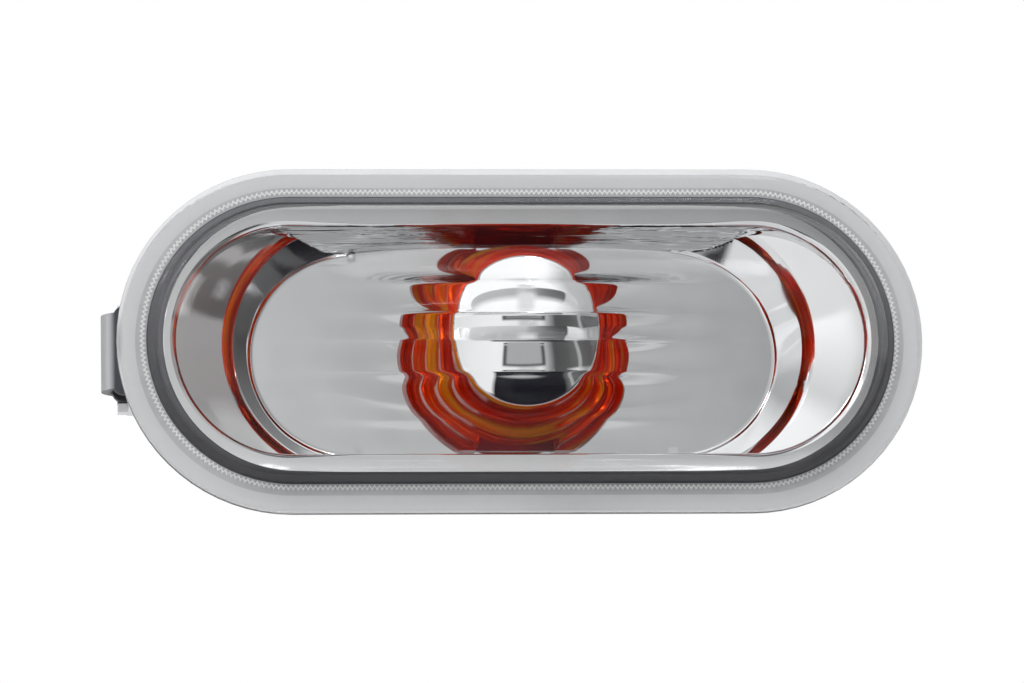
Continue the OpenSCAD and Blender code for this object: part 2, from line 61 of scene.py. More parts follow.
CUP_R, CUP_NARROWS, CUP_STEPS, CUP_FOOT = 13.2, 4.4, 4, 2.0
CUP_LEDGE, CUP_DRAFT, CUP_WALL = 0.4, 0.2, 1.2
CUP_TOP, CUP_FLAT, CUP_CLEAR = 10.27, 11.284, 0.06
NOTCH_HALF, NOTCH_H = 4.6, 6.2
LEG_HALF = 1.95
SOLE_IN, SOLE_OUT, SOLE_FLAT, SOLE_TOP = 7.25, 12.1, 10.0, 0.6
SOLE_TONGUE, SOLE_TONGUE_HALF = 11.2, 4.55
SHIELD_R, SHIELD_H, SHIELD_TOP, SHIELD_WALL, SHIELD_CUT = 8.3, 2.2, 12.47, 0.8, 0.3

# Where a material changes, from one place to the other, in metres: LENS_FROST and the painted pale
# edge by r, the others by x or by the height above the middle. All but LENS_FROST mark painted
# light or shade.
LENS_FROST = (0.0166, 0.0171)
# painted light: the housing's edge is painted paler, from one r to the other
PAINTED_GLOW_EDGE = (0.0172, 0.0192)
# painted shade: the housing behind the clip, by x and by the height above the middle
PAINTED_SHADE_X, PAINTED_SHADE_UP = (-0.0456, -0.0450), (0.0046, 0.0052)
# painted shade: the clip darkens by x towards the housing
CLIP_PAINTED_SHADE = (-0.0468, -0.0460)


# ---- meshes

def place(x, y, z):
    """A point given as across, up and out of the lens, in the row frame."""
    return (x * MM, -z * MM, y * MM)


def linked(name, data):
    """A new object in the scene."""
    obj = bpy.data.objects.new(name, data)
    bpy.context.scene.collection.objects.link(obj)
    return obj


def piece(name, shape, material, replaces=(), body="lamp_body", sharp=35, recalc=True):
    """A new piece from vertices and faces. Edges of more than sharp degrees stay sharp."""
    verts, faces = shape
    mesh = bpy.data.meshes.new(name)
    mesh.from_pydata([place(*v) for v in verts], [], faces)
    bm = bmesh.new()
    bm.from_mesh(mesh)
    bmesh.ops.remove_doubles(bm, verts=bm.verts, dist=2e-6)
    bmesh.ops.dissolve_degenerate(bm, edges=bm.edges, dist=1e-7)
    if recalc:
        bmesh.ops.recalc_face_normals(bm, faces=bm.faces)
    bm.to_mesh(mesh)
    bm.free()
    mesh.shade_smooth()
    mesh.set_sharp_from_angle(angle=math.radians(sharp))
    obj = linked(name, mesh)
    mesh.materials.append(material)
    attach(obj, body)
    if replaces:
        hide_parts(*replaces)
    return obj


def repaint(obj, material, wanted):
    """A second material on the faces for which wanted(x, y, z, normal) is true, in mm."""
    obj.data.materials.append(material)
    for f in obj.data.polygons:
        if wanted(f.center.x * 1000, f.center.z * 1000, -f.center.y * 1000, f.normal):
            f.material_index = 1


def oval_r(x, y):
    return math.hypot(max(0.0, abs(x) - HALF), y)


def fillet(points, radius, steps=5, closed=False):
    """The polyline with its corners rounded. radius is one number, or one for each corner."""
    n = len(points)
    radii = radius if isinstance(radius, (list, tuple)) else [radius] * n
    out = []
    for i, p in enumerate(points):
        if (not closed and i in (0, n - 1)) or radii[i] <= 0:
            out.append(tuple(p))
            continue
        p, a, b = Vector(p), Vector(points[i - 1]), Vector(points[(i + 1) % n])
        u, v = (a - p), (b - p)
        lu, lv = u.length, v.length
        u, v = u / lu, v / lv
        angle = math.acos(max(-1, min(1, u.dot(v))))
        if angle > math.pi - 0.02:
            out.append(tuple(p))
            continue
        t = min(radii[i] / math.tan(angle / 2), 0.45 * lu, 0.45 * lv)
        r = t * math.tan(angle / 2)
        centre = p + (u + v).normalized() * (r / math.sin(angle / 2))
        s, e = p + u * t - centre, p + v * t - centre
        turn = math.acos(max(-1, min(1, s.dot(e) / (s.length * e.length))))
        for k in range(steps + 1):
            f = k / steps
            w = (s * math.sin((1 - f) * turn) + e * math.sin(f * turn)) / math.sin(turn)
            out.append(tuple(centre + w))
    return out


def subdivide(points, longest):
    """The polyline with long straight runs cut into short ones."""
    out = [points[0]]
    for a, b in zip(points, points[1:]):
        n = max(1, math.ceil(math.dist(a, b) / longest))
        out += [tuple(a[i] + (b[i] - a[i]) * k / n for i in (0, 1)) for k in range(1, n + 1)]
    return out


def convex_arc(steep, flat, n):
    """Points from (0, 0) to (1, 1) on a convex arc, from one slope in degrees to the other."""
    a0, a1 = math.radians(steep), math.radians(flat)
    out = []
    for k in range(n + 1):
        a = a0 + (a1 - a0) * k / n
        out.append(((math.sin(a0) - math.sin(a)) / (math.sin(a0) - math.sin(a1)),
                    (math.cos(a) - math.cos(a0)) / (math.cos(a1) - math.cos(a0))))
    return out


def stations(half, arc_steps, run_steps):
    """Places round an oval: centre x, and the outward direction."""
    out = [(-half + 2 * half * k / run_steps, 0.0, 1.0) for k in range(run_steps)]
    for s in (1, -1):
        for k in range(arc_steps):
            a = math.pi * (0.5 - k / arc_steps)
            out.append((s * half, s * math.cos(a), s * math.sin(a)))
        if s > 0:
            out += [(half - 2 * half * k / run_steps, 0.0, -1.0) for k in range(run_steps)]
    return out


def directions(steps):
    """Unit directions round a full turn."""
    turns = [2 * math.pi * i / steps for i in range(steps)]
    return [(math.cos(a), math.sin(a)) for a in turns]


def row_at(cx, nx, ny, section):
    """A section of (r, z) points, placed at one station or direction."""
    return [(cx + r * nx, r * ny, z) for r, z in section]


def grid(rows, closed_cols=False):
    """Vertices and quads of a ring of equally long rows of points."""
    n, m = len(rows), len(rows[0])
    verts = [p for row in rows for p in row]
    faces = []
    for i in range(n):
        j = (i + 1) % n
        for k in range(m if closed_cols else m - 1):
            l = (k + 1) % m
            faces.append((i * m + k, i * m + l, j * m + l, j * m + k))
    return verts, faces


def cut_box(obj, low, high):
    """Cuts a box, given in the part's own directions, out of a closed piece."""
    corners = [place(x, y, z) for x in (low[0], high[0]) for y in sorted((low[1], high[1]))
               for z in (low[2], high[2])]
    mesh = bpy.data.meshes.new("cutter")
    mesh.from_pydata(corners, [], [(0, 1, 3, 2), (4, 6, 7, 5), (0, 4, 5, 1), (2, 3, 7, 6),
                                   (0, 2, 6, 4), (1, 5, 7, 3)])
    bm = bmesh.new()
    bm.from_mesh(mesh)
    bmesh.ops.recalc_face_normals(bm, faces=bm.faces)
    bm.to_mesh(mesh)
    bm.free()
    cutter = linked("cutter", mesh)
    mod = obj.modifiers.new("cut", "BOOLEAN")
    mod.operation = "DIFFERENCE"
    mod.solver = "EXACT"
    mod.object = cutter
    evaluated = obj.evaluated_get(bpy.context.evaluated_depsgraph_get())
    made = bpy.data.meshes.new_from_object(evaluated)
    obj.modifiers.clear()
    obj.data = made
    bpy.data.objects.remove(cutter)


# ---- material nodes

def tree_of(name):
    mat = bpy.data.materials.new(name)
    mat.use_nodes = True
    mat.node_tree.nodes.clear()
    return mat, mat.node_tree


def add(tree, kind, inputs=None, **settings):
    """One node, with its settings, and its inputs set to values or linked to sockets."""
    n = tree.nodes.new(kind)
    for k, v in settings.items():
        setattr(n, k, v)
    for k, v in (inputs or {}).items():
        if isinstance(v, bpy.types.NodeSocket):
            tree.links.new(v, n.inputs[k])
        else:
            n.inputs[k].default_value = v
    return n


def point(tree, scale=(1, 1, 1), rotation=(0, 0, 0)):
    coords = add(tree, "ShaderNodeTexCoord").outputs["Object"]
    ins = {"Vector": coords, "Scale": scale, "Rotation": rotation}
    return add(tree, "ShaderNodeMapping", ins).outputs["Vector"]


def across_depth_up(tree):
    """The point's x, y and z in the row frame."""
    return add(tree, "ShaderNodeSeparateXYZ", {0: point(tree)}).outputs


def noise(tree, scale, detail=3.0, rough=0.5, where=None, distortion=0.0):
    ins = {"Vector": where or point(tree), "Scale": scale, "Detail": detail, "Roughness": rough,
           "Distortion": distortion}
    return add(tree, "ShaderNodeTexNoise", ins).outputs["Fac"]


def cells(tree, scale, where=None):
    """Distance to the nearest of many scattered points."""
    ins = {"Vector": where or point(tree), "Scale": scale}
    return add(tree, "ShaderNodeTexVoronoi", ins).outputs["Distance"]


def spread(tree, fac, low, high, a=0.0, b=1.0):
    """fac from a to b becomes low to high."""
    ins = {"Value": fac, "From Min": a, "From Max": b, "To Min": low, "To Max": high}
    return add(tree, "ShaderNodeMapRange", ins).outputs["Result"]


def ramp(tree, fac, stops):
    r = add(tree, "ShaderNodeValToRGB", {"Fac": fac})
    elements = r.color_ramp.elements
    while len(elements) < len(stops):
        elements.new(0.5)
    for el, (pos, col) in zip(elements, stops):
        el.position = pos
        el.color = (*col, 1)
    return r.outputs["Color"]


def blend(tree, fac, one, two):
    """Colour one, turning into colour two as fac goes from 0 to 1."""
    ins = {"Factor": fac, 6: one, 7: two}
    return add(tree, "ShaderNodeMix", ins, data_type="RGBA").outputs[2]


def calc(tree, op, *vals):
    return add(tree, "ShaderNodeMath", dict(enumerate(vals)), operation=op).outputs[0]


def product(tree, *vals):
    out = vals[0]
    for v in vals[1:]:
        out = calc(tree, "MULTIPLY", out, v)
    return out


def length(tree, a, b):
    """The length of (a, b)."""
    squares = calc(tree, "ADD", product(tree, a, a), product(tree, b, b))
    return calc(tree, "SQRT", squares)


def bump(tree, height, strength, distance=0.0002, normal=None):
    ins = {"Height": height, "Strength": strength, "Distance": distance}
    if normal:
        ins["Normal"] = normal
    return add(tree, "ShaderNodeBump", ins).outputs["Normal"]


def principled(tree, inputs):
    shader = add(tree, "ShaderNodeBsdfPrincipled", inputs)
    add(tree, "ShaderNodeOutputMaterial", {"Surface": shader.outputs["BSDF"]})


def outside_oval(tree, r0, r1):
    """0 within r0 of the oval's long axis, 1 beyond r1, in metres."""
    x, _, up = across_depth_up(tree)
    past_run = calc(tree, "SUBTRACT", calc(tree, "ABSOLUTE", x), HALF * MM)
    r = length(tree, calc(tree, "MAXIMUM", past_run, 0.0), up)
    return spread(tree, r, 0.0, 1.0, r0, r1)


# ---- materials

def clear_lens():
    m, t = tree_of("clear_lens")
    haze = spread(t, noise(t, 900, 4), 0.0, 0.035, 0.45, 0.75)
    frost = spread(t, noise(t, 350, 4), 0.04, 0.14, 0.3, 0.7)
    rough = calc(t, "ADD", haze, product(t, outside_oval(t, *LENS_FROST), frost))
    principled(t, {"Base Color": (0.985, 0.99, 0.99, 1), "Roughness": rough, "IOR": 1.49,
                   "Specular Tint": (0.16, 0.16, 0.17, 1), "Transmission Weight": 1.0,
                   "Normal": bump(t, noise(t, 120, 2), 0.04, 0.0004)})
    return m


def weld_white():
    m, t = tree_of("weld_rib")
    col = ramp(t, noise(t, 700, 3), [(0.3, (0.90, 0.905, 0.915)), (0.7, (1.0, 1.0, 1.0))])
    principled(t, {"Base Color": col, "Roughness": spread(t, noise(t, 1500, 2), 0.18, 0.4)})
    return m


def chrome(name, shade, low, high, waviness, streaks=0.0):
    """Bright plating: a thin mist, drawn-out flecks in patches, and slow waves."""
    m, t = tree_of(name)
    col = ramp(t, noise(t, 60, 4), [(0.3, tuple(c * 0.97 for c in shade)), (0.7, shade)])
    mist = spread(t, noise(t, 90, 2, 0.4), low, high, 0.35, 0.75)
    fleck = cells(t, 330.0, point(t, (1, 1, 0.16), (0.2, 0.7, 0.3)))
    fleck = product(t, spread(t, fleck, 1.0, 0.0, 0.03, 0.055),
                    spread(t, noise(t, 50, 1), 0.0, 1.0, 0.56, 0.6))
    nrm = bump(t, noise(t, 75, 2), waviness, 0.001)
    nrm = bump(t, fleck, 0.3, 0.00002, nrm)
    if streaks:
        drawn = noise(t, 420, 3, 0.55, point(t, (0.16, 1, 1)), 0.6)
        nrm = bump(t, drawn, streaks, 0.0004, nrm)
    principled(t, {"Base Color": col, "Metallic": 1.0, "Normal": nrm,
                   "Roughness": calc(t, "ADD", mist, product(t, fleck, 0.15))})
    return m


def amber_plastic():
    m, t = tree_of("amber")
    # painted highlight and shade: streaks drawn out round the lamp's axis, as the moulding's steps
    # are, painted from dark red bands to yellow glints
    x, depth, up = across_depth_up(t)
    ring = add(t, "ShaderNodeCombineXYZ", {
        0: length(t, x, up), 1: product(t, depth, 0.5),
        2: product(t, calc(t, "ADD", x, up), 0.12)}).outputs[0]
    streak = noise(t, 620, 3, 0.6, ring)
    col = ramp(t, streak, [(0.36, (0.42, 0.004, 0.001)), (0.46, (0.90, 0.020, 0.001)),
                           (0.55, (1.0, 0.06, 0.002)), (0.64, (1.0, 0.46, 0.012))])
    # painted shade: seen along its surface the wall is painted deep and dark, for the longer path
    # of light through it
    slant = add(t, "ShaderNodeLayerWeight", {"Blend": 0.35}).outputs["Facing"]
    col = blend(t, spread(t, slant, 0.0, 0.65, 0.4, 0.95), col, (0.70, 0.012, 0.002, 1))
    nrm = bump(t, noise(t, 240, 3), 0.14, 0.0003, bump(t, streak, 0.3, 0.0003))
    principled(t, {"Base Color": col, "IOR": 1.46, "Transmission Weight": 0.82,
                   "Roughness": spread(t, noise(t, 500, 3), 0.01, 0.05, 0.4, 0.7),
                   "Specular IOR Level": 0.15, "Specular Tint": (0.7, 0.16, 0.03, 1),
                   "Normal": nrm})
    return m


def amber_deep():
    """The cup's floor, painted deep and dark as shade, where the light has passed the amber more
    than once.
    """
    m, t = tree_of("amber_deep")
    col = ramp(t, noise(t, 200, 3), [(0.35, (0.20, 0.005, 0.014)),
                                     (0.65, (0.42, 0.014, 0.020))])
    principled(t, {"Base Color": col, "IOR": 1.46, "Transmission Weight": 0.35,
                   "Roughness": spread(t, noise(t, 500, 3), 0.1, 0.25),
                   "Specular IOR Level": 0.2,
                   "Normal": bump(t, noise(t, 240, 3), 0.1, 0.0003)})
    return m


def moulded(name, dark, light, rough=(0.38, 0.55), grain=2600, depth=0.25, spec=0.45,
            housing=False):
    """Moulded plastic: fine spark-eroded grain, faint flow marks, and a light speckle."""
    m, t = tree_of(name)
    flow = noise(t, 45, 3, 0.55, point(t, (1, 1, 2.2)))
    speck = noise(t, grain * 0.5, 2)
    mix = calc(t, "ADD", product(t, flow, 0.7), product(t, speck, 0.3))
    col = ramp(t, mix, [(0.35, dark), (0.65, light)])
    if housing:
        # painted light: its thin edge is painted paler, for light shining through it
        col = blend(t, outside_oval(t, *PAINTED_GLOW_EDGE), col, (0.84, 0.84, 0.85, 1))
        # painted shade: the housing behind the clip is painted dark, for the shade in the recess
        # there
        x, _, up = across_depth_up(t)
        shade = product(t, spread(t, x, 1.0, 0.0, *PAINTED_SHADE_X),
                        spread(t, calc(t, "ABSOLUTE", up), 1.0, 0.0, *PAINTED_SHADE_UP))
        col = blend(t, shade, col, (0.12, 0.12, 0.13, 1))
    principled(t, {"Base Color": col, "Specular IOR Level": spec,
                   "Roughness": spread(t, noise(t, 300, 3), *rough, 0.35, 0.65),
                   "Normal": bump(t, cells(t, grain), depth, 0.00004)})
    return m


def foam_black():
    m, t = tree_of("foam")
    pores = cells(t, 2200)
    col = ramp(t, pores, [(0.1, (0.012, 0.012, 0.013)), (0.6, (0.05, 0.05, 0.052))])
    principled(t, {"Base Color": col, "Roughness": 0.9, "Specular IOR Level": 0.25,
                   "Normal": bump(t, pores, 0.7, 0.00012)})
    return m


def metal(name, dark, light, rough, brushed=(1, 1, 1), painted_shade=None):
    """Bare metal, drawn out along the axis where brushed is small."""
    m, t = tree_of(name)
    where = point(t, brushed)
    col = ramp(t, noise(t, 320, 4, 0.6, where), [(0.3, dark), (0.7, light)])
    if painted_shade:
        # painted shade: light at its outer end and painted darker further in, for the shade under
        # the flange
        x, _, _ = across_depth_up(t)
        col = blend(t, spread(t, x, 0.0, 1.0, *painted_shade), col, (0.07, 0.07, 0.082, 1))
    principled(t, {"Base Color": col, "Metallic": 1.0,
                   "Roughness": spread(t, noise(t, 700, 3, 0.5, where), *rough, 0.3, 0.7),
                   "Normal": bump(t, noise(t, 1500, 3, 0.6, where), 0.15, 0.00003)})
    return m


def bulb_clear():
    m, t = tree_of("bulb_glass")
    principled(t, {"Base Color": (0.97, 0.98, 0.98, 1), "IOR": 1.5, "Transmission Weight": 1.0,
                   "Roughness": spread(t, noise(t, 400, 2), 0.0, 0.03, 0.4, 0.8),
                   "Normal": bump(t, noise(t, 180, 2), 0.06, 0.0003)})
    return m


PLATING = (0.87, 0.875, 0.885)
M_LENS = clear_lens()
M_WELD = weld_white()
M_BED = moulded("weld_bed", (0.52, 0.525, 0.54), (0.62, 0.625, 0.64), (0.4, 0.6), 1800, 0.15)
M_REFLECTOR = chrome("reflector_metal", PLATING, 0.02, 0.07, 0.05)
M_WALL = chrome("reflector_wall_metal", PLATING, 0.02, 0.08, 0.05, 0.42)
M_SHIELD = chrome("shield_chrome", (0.93, 0.935, 0.945), 0.01, 0.04, 0.012)
M_AMBER = amber_plastic()
M_AMBER_DEEP = amber_deep()
M_HOUSING = moulded("housing_grey", (0.64, 0.645, 0.66), (0.72, 0.725, 0.74), housing=True)
# dark unplated plastic, and painted shade where it stands in the gaps round the rim
M_UNPLATED_AND_SHADE = moulded("reflector_skirt_and_shade", (0.105, 0.105, 0.117), (0.140, 0.140, 0.154),
                  (0.65, 0.8), spec=0.15)
M_FOAM = foam_black()
M_CLIP = metal("spring_steel", (0.50, 0.505, 0.52), (0.62, 0.625, 0.64), (0.34, 0.5),
               (1, 1, 0.12), CLIP_PAINTED_SHADE)
M_HOLDER = moulded("holder_plastic", (0.018, 0.018, 0.019), (0.034, 0.034, 0.036),
                   (0.34, 0.5), 3000, 0.3)
M_RUBBER = moulded("seal_rubber", (0.03, 0.03, 0.032), (0.055, 0.054, 0.052),
                   (0.55, 0.75), 1800, 0.25, 0.3)
M_BRASS = metal("contact_brass", (0.62, 0.5, 0.28), (0.78, 0.66, 0.42), (0.2, 0.4), (1, 0.15, 1))
M_BULB = bulb_clear()
M_WIRE = metal("lead_wire", (0.5, 0.47, 0.44), (0.68, 0.64, 0.6), (0.25, 0.45))
M_FILAMENT = metal("filament_wire", (0.20, 0.20, 0.21), (0.32, 0.32, 0.34), (0.3, 0.5))


# ---- lens

def smooth(t):
    return t * t * (3 - 2 * t)


def flute_height(x, y):
    """How far the crown's inner face stands in from its plain arc."""
    fade = smooth(min(1.0, max(0.0, (FLUTE_END - abs(x)) / FLUTE_FADE)))
    if fade <= 0 or not SEAMS[0] - 2 < y < SEAMS[-1] + 2:
        return 0.0
    curve = 1 / FLUTE_R + 1 / INNER_R
    k = min(max(sum(1 for seam in SEAMS if y > seam), 1), len(SEAMS) - 1)
    middle = (SEAMS[k - 1] + SEAMS[k]) / 2
    half = (SEAMS[k] - SEAMS[k - 1]) / 2
    v = abs(y - middle)
    plain = half - FLUTE_JOIN
    if (k == 1 and y < middle) or (k == len(SEAMS) - 1 and y > middle):
        # the outermost flutes run out softly on their outer side
        d = FLUTE_H * (1 - smooth(min(1.0, v / (half + FLUTE_RUN_OUT))))
    elif v > plain:
        t = v - plain
        d = FLUTE_H - plain ** 2 / 2 * curve - plain * curve * (t - t * t / (2 * FLUTE_JOIN))
    else:
        d = FLUTE_H - v * v / 2 * curve
    return d * fade


def lens():
    n_out, n_in = 46, 132
    foot_a = math.asin(FOOT_R / CROWN_R)
    outer = [(CROWN_R * math.sin(foot_a * k / n_out),
              CROWN_C + CROWN_R * math.cos(foot_a * k / n_out)) for k in range(n_out)]
    outer[0] = (0.0, outer[0][1])
    # from the foot of the crown over the flange's rounded edge to the underside
    flange = fillet([outer[-1], (FOOT_R, CROWN_Z), (FLANGE_R - 1.5, CROWN_Z),
                     (FLANGE_R - 0.55, CROWN_Z - 0.4), (FLANGE_R, CROWN_Z - 1.0),
                     (FLANGE_R, UNDER_Z), (FOOT_SHADE_R, UNDER_Z), (UNDER_R, UNDER_Z)],
                    [0, 0.25, 2.0, 1.0, 0.8, 0.15, 0, 0])
    low_a = math.acos((UNDER_Z - CROWN_C) / INNER_R)
    inner = [low_a * (1 - k / n_in) for k in range(n_in + 1)]
    rows = []
    for cx, nx, ny in stations(HALF, 36, 52):
        section = outer[:-1] + flange
        for a in inner:
            y = INNER_R * math.sin(a)
            radius = INNER_R - (flute_height(cx, y) if nx == 0 else 0.0)
            r = radius * math.sin(a) if a > 0 else 0.0
            section.append((r, CROWN_C + radius * math.cos(a)))
        rows.append(row_at(cx, nx, ny, section))
    obj = piece("lens_moulding", grid(rows), M_LENS, ["outer_lens"], sharp=50)
    # painted shade: the foot of the crown, where it sits in the reflector's dark step, is painted
    # dark
    repaint(obj, M_UNPLATED_AND_SHADE, lambda x, y, z, n: z < FOOT_SHADE_Z and oval_r(x, y) < FOOT_SHADE_R)
    obj.visible_shadow = False


def weld_station(s):
    """The place round the weld's oval at a distance along it, as stations() gives them."""
    run, arc = 2 * HALF, math.pi * WELD_R
    if s < run:
        return -HALF + s, 0.0, 1.0
    if s < run + arc:
        a = math.pi / 2 - (s - run) / WELD_R
        return HALF, math.cos(a), math.sin(a)
    if s < 2 * run + arc:
        return HALF - (s - run - arc), 0.0, -1.0
    a = -math.pi / 2 - (s - 2 * run - arc) / WELD_R
    return -HALF, math.cos(a), math.sin(a)


def weld_rib():
    """The weld under the lens flange: a flat bead with a zigzag of fine teeth on it."""
    around = 4 * HALF + 2 * math.pi * WELD_R
    total = 2 * round(around / TOOTH_PITCH / 2) * TOOTH_POINTS
    flat = fillet([(16.42, 2.3), (17.7, 2.3), (17.7, 2.71), (16.42, 2.71)], 0.03, 2, True)
    bed, teeth = [], []
    for i in range(total):
        cx, nx, ny = weld_station(around * i / total)
        swing = TOOTH_SWING * (-1, 0, 1, 0)[i % TOOTH_POINTS]
        r = WELD_R - 0.12 * abs(nx) + 0.22 * ny + swing
        tooth = ((r - 0.17, 2.705), (r - 0.08, 2.735), (r + 0.08, 2.735), (r + 0.17, 2.705))
        teeth.append(row_at(cx, nx, ny, tooth))
        bed.append(row_at(cx, nx, ny, flat))
    piece("lens_weld_bed", grid(bed, True), M_BED, sharp=20)
    piece("lens_weld_bead", grid(teeth, True), M_WELD, sharp=20)


# ---- reflector

def taper(z):
    """The bowl's long wall: its r at a height."""
    return BACK_R + (WINDOW_R - WINDOW_DRAFT - BACK_R) * (z - BACK_Z) / (RIM_Z - BACK_Z)


def to_wall(nx, ny, r):
    """Distance from an end dish's centre to the oval of radius r, along a direction."""
    off = HALF - END_X
    if abs(ny) > 1e-9 and nx * r / abs(ny) <= off:
        return r / abs(ny)
    b = off * nx
    return b + math.sqrt(max(0.0, b * b - off * off + r * r))


def reach(nx, ny, r):
    """The same, and r itself along the straight run."""
    return r if nx == 0.0 else to_wall(abs(nx), ny, r)


def dish_profile():
    """The end's profile: the panel's edge, the convex step, the dish and its lip."""
    band = [(BAND_R - BAND_W * (1 - r), BAND_TOP - BAND_W * (1 - z) * 1.2)
            for r, z in convex_arc(60, 38, 6)]
    points = ([(BACK_R - 1, BACK_Z), (BACK_R, BACK_Z)] + band
              + [(LIP_R, LIP_Z), (LIP_R, RIM_Z + 0.5)])
    radii = [0, 0.4, 0.15] + [0] * (len(band) - 2) + [0.15, 0.2, 0]
    return subdivide(fillet(points, radii, 6), 0.3)


def up_to_wall(end, nx, ny):
    """The part of the end's profile inside the tapered wall, and where it meets that wall."""
    path = []
    for a, b in zip(end, end[1:]):
        path.append(a)
        if b[0] >= reach(nx, ny, taper(b[1])):
            lo, hi = 0.0, 1.0
            for _ in range(24):
                f = (lo + hi) / 2
                r, z = a[0] + (b[0] - a[0]) * f, a[1] + (b[1] - a[1]) * f
                if r < reach(nx, ny, taper(z)):
                    lo = f
                else:
                    hi = f
            return path, (a[0] + (b[0] - a[0]) * lo, a[1] + (b[1] - a[1]) * lo)
    return path, (reach(nx, ny, taper(RIM_Z)), RIM_Z)


def reflector():
    end = dish_profile()
    n_wall, n_panel = 14, 10
    rows = []
    for cx, nx, ny in stations(END_X, 132, 40):
        if nx == 0.0:
            path, corner, start = [], (BACK_R, BACK_Z), BACK_R
        else:
            path, corner = up_to_wall(end, nx, ny)
            start = path[0][0]
        path = path + [corner] * (len(end) - len(path))
        # up the tapered wall and over the convex edge to the rim, which narrows at the ends
        out = reach(nx, ny, RIM_R - RIM_NARROWS * nx * nx)
        width = 0.12 + 0.5 * min(1.0, 1.5 * abs(nx))
        edge = min(width, 0.95 * (RIM_Z - corner[1]))
        top = (reach(nx, ny, taper(RIM_Z - edge)), RIM_Z - edge)
        wall = [tuple(corner[i] + (top[i] - corner[i]) * k / n_wall for i in (0, 1))
                for k in range(1, n_wall)]
        rim = [(top[0] + width * r, top[1] + edge * z) for r, z in convex_arc(68, 28, 6)]
        rim += [(out - 0.05, RIM_Z), (out, RIM_Z - 0.05), (out, RIM_Z - 0.15)]
        panel = [(start * k / n_panel, BACK_Z) for k in range(n_panel)]
        rows.append(row_at(cx, nx, ny, panel + path + wall + rim))
    verts, faces = grid(rows)
    kept = []
    for f in faces:
        x, y, z = [sum(verts[i][k] for i in f) / len(f) for k in range(3)]
        # all but the hole under the amber cup
        if z >= BACK_Z + 0.01 or math.hypot(x, y) >= BULB_HOLE_R:
            kept.append(tuple(reversed(f)))
    obj = piece("reflector_bowl", (verts, kept), M_REFLECTOR, ["reflector"],
                sharp=28, recalc=False)
    # the drawn side walls are less true than the pressed floor
    repaint(obj, M_WALL, lambda x, y, z, n: abs(oval_r(x, y) - taper(z)) < 0.03 and abs(n.y) < 0.3)


def skirt():
    """The dark unplated step round the reflector's bright rim, dark also as painted shade for the
    gap between rim and lens.
    """
    section = fillet([(13.42, 1.72), (15.95, 1.72), (15.95, 2.48), (15.3, 2.6), (14.9, 4.3),
                      (14.3, 4.6), (13.8, 4.6), (13.8, 2.3), (13.42, 2.3)],
                     [0.1, 0.1, 0.1, 0.2, 0.1, 0.05, 0, 0, 0.1], 3, True)
    rows = [row_at(*at, section) for at in stations(HALF, 48, 8)]
    piece("reflector_skirt_and_shade", grid(rows, True), M_UNPLATED_AND_SHADE, ["reflector"])


# ---- amber cup and shield

def flattened(r, flat, s):
    """r, held inside the flat sides of the cup, in a direction with sine s."""
    return min(r, flat / abs(s)) if abs(s) > 1e-6 else r


def cup():
    """The cup's stepped wall, with a notch in each long side of its foot."""
    rise = (CUP_TOP - BACK_Z - CUP_FOOT) / CUP_STEPS
    outer, inner = [], []
    for i in range(CUP_STEPS + 1):
        r = CUP_R - CUP_NARROWS * i / CUP_STEPS
        z0 = BACK_Z if i == 0 else BACK_Z + CUP_FOOT + (i - 1) * rise + CUP_LEDGE
        z1 = BACK_Z + CUP_FOOT + i * rise
        outer += [(r, z0), (r - CUP_DRAFT, z1)]
        inner += [(r - CUP_WALL, z0 - (CUP_WALL if i else 2.5)),
                  (r - CUP_DRAFT - CUP_WALL, z1 - CUP_WALL)]
    outer = fillet([(outer[0][0], BACK_Z + CUP_CLEAR)] + outer[1:] + [(0, CUP_TOP)],
                   [0] + [0.28] * (len(outer) - 2) + [0.4, 0])
    inner = fillet(inner + [(0, CUP_TOP - CUP_WALL)], [0] + [0.22] * len(inner), 4)
    inner[0] = (inner[0][0], BACK_Z + CUP_CLEAR)
    rows = []
    for c, s in directions(240):
        section = [(flattened(r, CUP_FLAT, s), z) for r, z in outer]
        section += [(flattened(r, CUP_FLAT - CUP_WALL, s), z) for r, z in inner[::-1]]
        rows.append(row_at(0, c, s, section))
    obj = piece("amber_inner_cup", grid(rows, True), M_AMBER, ["amber_cup"], sharp=40)
    for side in (1, -1):
        cut_box(obj, (-NOTCH_HALF, side * 7.0, BACK_Z - 1),
                (NOTCH_HALF, side * 14.0, BACK_Z + NOTCH_H))
    obj.visible_shadow = False


def leg(name, side):
    """One of the legs that hold the cup, with its barb behind the reflector."""
    profile = [(12.15, BACK_Z + 0.02), (12.15, -9.8), (12.9, -9.8), (13.35, -8.7),
               (12.9, -8.66), (12.9, BACK_Z + 0.02)]
    n = len(profile)
    verts = [(side * x, y, z) for y in (-LEG_HALF, LEG_HALF) for x, z in profile]
    faces = [tuple(range(n)), tuple(range(2 * n - 1, n - 1, -1))]
    faces += [(k, (k + 1) % n, n + (k + 1) % n, n + k) for k in range(n)]
    obj = piece(name, (verts, faces), M_AMBER, ["amber_cup"], sharp=20)
    obj.visible_shadow = False


def cup_floor():
    """The foot turns in under the notches as a thin floor round the bulb's hole."""
    rows = []
    for c, s in directions(180):
        out = flattened(SOLE_OUT, SOLE_FLAT, s)
        if abs(c) * SOLE_TONGUE < SOLE_TONGUE_HALF * abs(s):
            out = SOLE_TONGUE / abs(s)
        section = [(SOLE_IN, BACK_Z + 0.05), (SOLE_IN, BACK_Z + SOLE_TOP),
                   (out, BACK_Z + SOLE_TOP), (out, BACK_Z + 0.05)]
        rows.append(row_at(0, c, s, section))
    obj = piece("amber_cup_floor", grid(rows, True), M_AMBER_DEEP, ["amber_cup"],
                sharp=40)
    obj.visible_shadow = False


